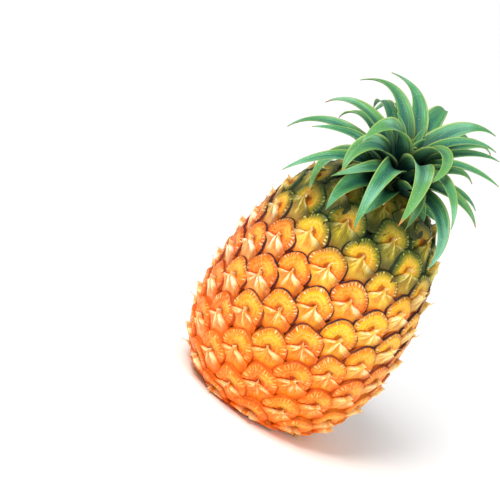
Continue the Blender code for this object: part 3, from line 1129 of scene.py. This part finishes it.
class PINEAPPLE_OT_collar(bpy.types.Operator):
    """The short leaves round the crown's foot, pressed against the fruit"""

    bl_idname = "pineapple.collar"
    bl_label = "Collar"

    def execute(self, context):
        crown = context.scene.pineapple_crown
        rng = random.Random(41)
        leaves = []
        for number in range(crown.collar_leaves):
            heading = number * GOLDEN_ANGLE + rng.uniform(-8, 8)
            bends = (rng.uniform(8, 30), rng.uniform(50, 85), rng.uniform(-12, 12))
            row = (heading, *bends, rng.uniform(17, 26), rng.uniform(9, 12))
            leaves.append((row, COLLAR_HEIGHT + 0.0002 * number, number + 50))
        piece = leaf_piece("crown_collar", crown, leaves, leaf_skin(crown))
        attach(piece, "root")
        return {"FINISHED"}


class PINEAPPLE_OT_heart(bpy.types.Operator):
    """The smallest leaves, which stand up round the stem's tip and close over it"""

    bl_idname = "pineapple.heart"
    bl_label = "Heart"

    def execute(self, context):
        crown = context.scene.pineapple_crown
        rng = random.Random(77)
        leaves = []
        for number in range(crown.heart_leaves):
            heading = number * GOLDEN_ANGLE + rng.uniform(-8, 8)
            bends = (rng.uniform(112, 122), rng.uniform(35, 70), rng.uniform(-15, 15))
            height = crown.stem_length - HEART_DEPTH + 0.0005 * number
            leaves.append(((heading, *bends, 12 + 1.8 * number, 9), height, number + 80))
        piece = leaf_piece("crown_heart", crown, leaves, leaf_skin(crown))
        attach(piece, "root")
        return {"FINISHED"}


class PINEAPPLE_OT_stem(bpy.types.Operator):
    """The finishes of the crown's stem and of the cut stalk"""

    bl_idname = "pineapple.stem"
    bl_label = "Stem and stalk"

    def execute(self, context):
        for name, skin in (("crown_stem", stem_skin()), ("stalk_stub", stalk_skin())):
            node = frame["nodes"][name]
            node.data.materials.clear()
            node.data.materials.append(skin)
        return {"FINISHED"}


MIDDLE = Vector((0, 0, 0.09))
FRAME_CENTRE = Vector((0, 0, 0.074))
SKY_STRENGTH = 0.55


def add_lamp(name, kind, place, power, tint=(1.0, 1.0, 1.0), **shape):
    """A lamp that looks at the middle of the fruit."""
    data = bpy.data.lights.new(name, kind)
    data.energy = power
    data.color = tint
    for key, value in shape.items():
        setattr(data, key, value)
    made = bpy.data.objects.new(name, data)
    made.location = place
    made.rotation_euler = (MIDDLE - made.location).to_track_quat("-Z", "Y").to_euler()
    bpy.context.scene.collection.objects.link(made)


class PINEAPPLE_OT_stage(bpy.types.Operator):
    """A pale floor, soft lamps and the camera"""

    bl_idname = "pineapple.stage"
    bl_label = "Stage"

    def execute(self, context):
        stage = context.scene.pineapple_stage
        self.add_floor(stage)
        warm = (1.0, 0.98, 0.95)
        add_lamp("key", "AREA", (-0.45, -0.95, 0.95), 8.5, warm, shape="DISK", size=0.3)
        add_lamp("fill", "AREA", (0.95, -0.75, 0.35), 5.0, shape="DISK", size=0.4)
        add_lamp("daylight", "SUN", (-0.5, -0.6, 1.2), 2.0, angle=math.radians(30.0))
        world = bpy.data.worlds.new("sky")
        context.scene.world = world
        world.use_nodes = True
        sky = world.node_tree.nodes["Background"]
        sky.inputs["Color"].default_value = (1.0, 1.0, 1.0, 1.0)
        sky.inputs["Strength"].default_value = SKY_STRENGTH
        context.scene.view_settings.view_transform = "Standard"
        self.add_camera(context, stage)
        return {"FINISHED"}

    def add_floor(self, stage):
        shape = bmesh.new()
        bmesh.ops.create_circle(shape, cap_ends=True, segments=96, radius=8.0)
        mesh = bpy.data.meshes.new("floor")
        shape.to_mesh(mesh)
        shape.free()
        skin = Skin("floor")
        grain = skin.mottle(skin.place(), 60.0, 2.0)
        face = skin.mix(grain * 0.04, stage.floor, (0.85, 0.85, 0.85))
        add_object("floor", mesh, skin.finish(face, 0.75))

    def add_camera(self, context, stage):
        up = Vector((0, math.sin(stage.elevation), math.cos(stage.elevation)))
        right = Vector((1, 0, 0))
        back = right.cross(up)
        turned_right = right * math.cos(stage.roll) + up * math.sin(stage.roll)
        turned_up = up * math.cos(stage.roll) - right * math.sin(stage.roll)
        data = bpy.data.cameras.new("camera")
        data.lens = stage.lens
        data.clip_end = 50.0
        distance = stage.lens / data.sensor_width / stage.scale
        centre = FRAME_CENTRE - turned_right * stage.beside + turned_up * stage.above
        camera = bpy.data.objects.new("camera", data)
        turn = Matrix((turned_right, turned_up, back)).transposed().to_4x4()
        camera.matrix_world = Matrix.Translation(centre + back * distance) @ turn
        context.scene.collection.objects.link(camera)
        context.scene.camera = camera


class PINEAPPLE_PT_panel(bpy.types.Panel):
    """The pineapple's settings and pieces"""

    bl_idname = "PINEAPPLE_PT_panel"
    bl_label = "Pineapple"
    bl_space_type = "VIEW_3D"
    bl_region_type = "UI"
    bl_category = "Pineapple"

    def draw(self, context):
        scene = context.scene
        for settings in (scene.pineapple_fruit, scene.pineapple_crown, scene.pineapple_stage):
            box = self.layout.box()
            for name in settings.__annotations__:
                box.prop(settings, name)
        for operator in OPERATORS:
            self.layout.operator(operator.bl_idname)


SETTINGS = (PineappleFruit, PineappleCrown, PineappleStage)
OPERATORS = (
    PINEAPPLE_OT_core,
    PINEAPPLE_OT_domes,
    PINEAPPLE_OT_bracts,
    PINEAPPLE_OT_tips,
    PINEAPPLE_OT_stem,
    PINEAPPLE_OT_leaves,
    PINEAPPLE_OT_collar,
    PINEAPPLE_OT_heart,
    PINEAPPLE_OT_stage,
)


def register():
    for made in (*SETTINGS, *OPERATORS, PINEAPPLE_PT_panel):
        bpy.utils.register_class(made)
    bpy.types.Scene.pineapple_fruit = PointerProperty(type=PineappleFruit)
    bpy.types.Scene.pineapple_crown = PointerProperty(type=PineappleCrown)
    bpy.types.Scene.pineapple_stage = PointerProperty(type=PineappleStage)


def unregister():
    del bpy.types.Scene.pineapple_stage
    del bpy.types.Scene.pineapple_crown
    del bpy.types.Scene.pineapple_fruit
    for made in reversed((*SETTINGS, *OPERATORS, PINEAPPLE_PT_panel)):
        bpy.utils.unregister_class(made)


def main():
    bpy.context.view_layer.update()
    register()
    bpy.ops.pineapple.core()
    bpy.ops.pineapple.domes()
    bpy.ops.pineapple.bracts()
    bpy.ops.pineapple.tips()
    bpy.ops.pineapple.stem()
    bpy.ops.pineapple.leaves()
    bpy.ops.pineapple.collar()
    bpy.ops.pineapple.heart()
    bpy.ops.pineapple.stage()


if __name__ == "__main__":
    main()
